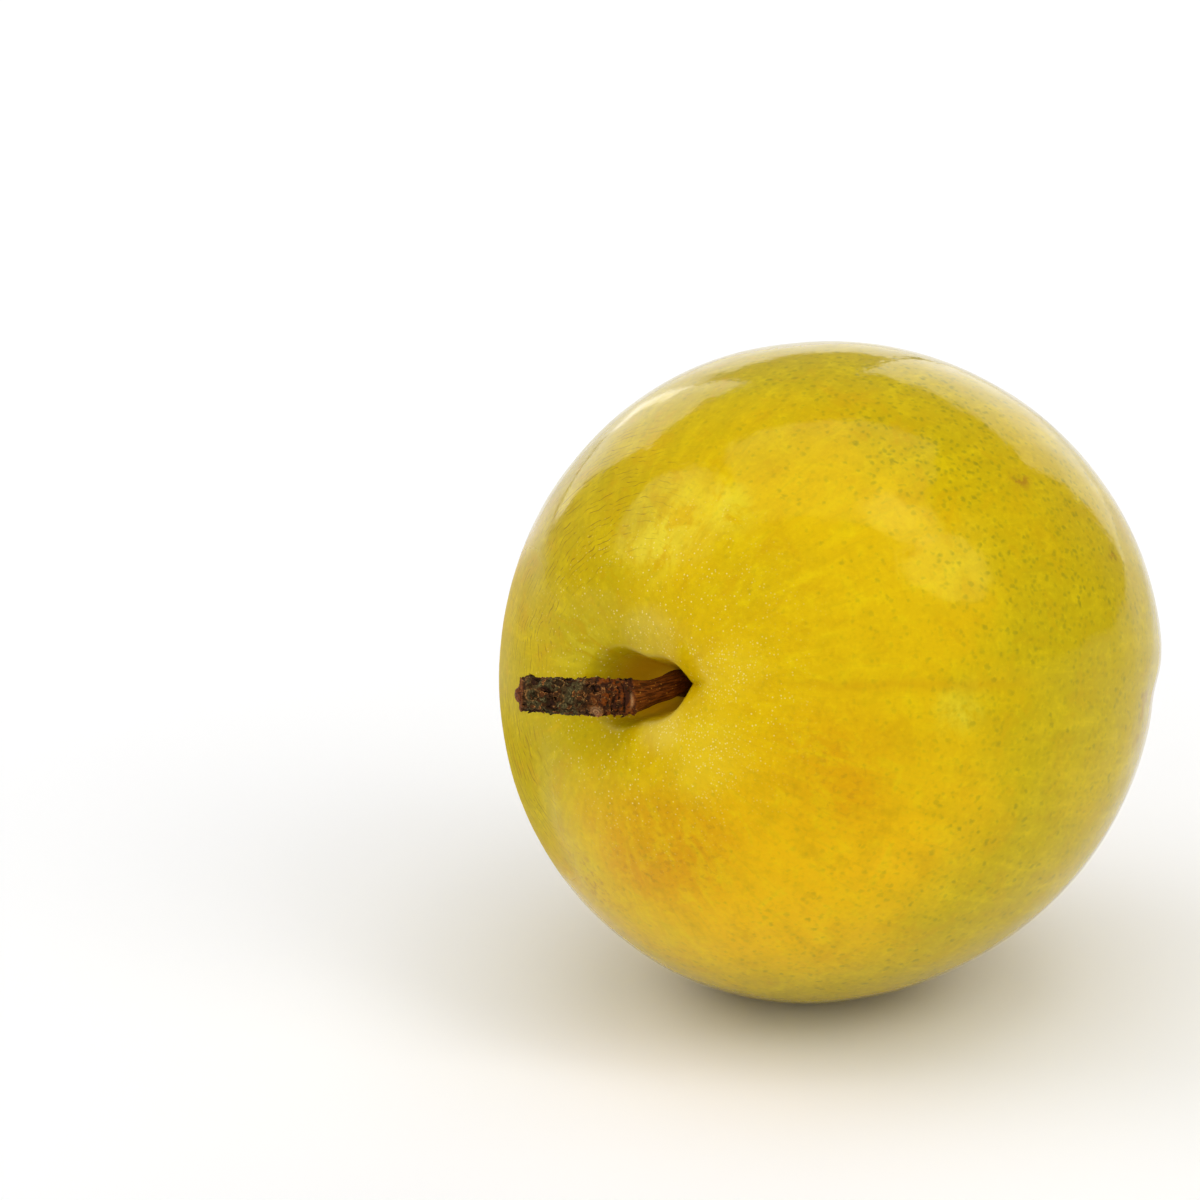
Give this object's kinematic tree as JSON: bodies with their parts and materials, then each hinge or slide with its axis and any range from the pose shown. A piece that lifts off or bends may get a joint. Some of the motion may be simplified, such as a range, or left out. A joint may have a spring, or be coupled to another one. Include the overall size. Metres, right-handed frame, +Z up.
{
  "type": "plum",
  "caption": "Ripe yellow-green plum with its stem and a short spur of bark, lying on one cheek on a small flat spot.",
  "frame": {"origin": "centre of the small flat spot that the fruit rests on", "axes": "+Z up from the surface it lies on, +X to the right and +Y away when the stem points to the front left"},
  "size_m": [0.0552, 0.0548, 0.0549],
  "materials": {
    "plum_skin": "satin",
    "stem_bark": "matte"
  },
  "bodies": {
    "root": {"fruit": "plum_skin", "stem": "stem_bark"}
  },
  "joints": []
}
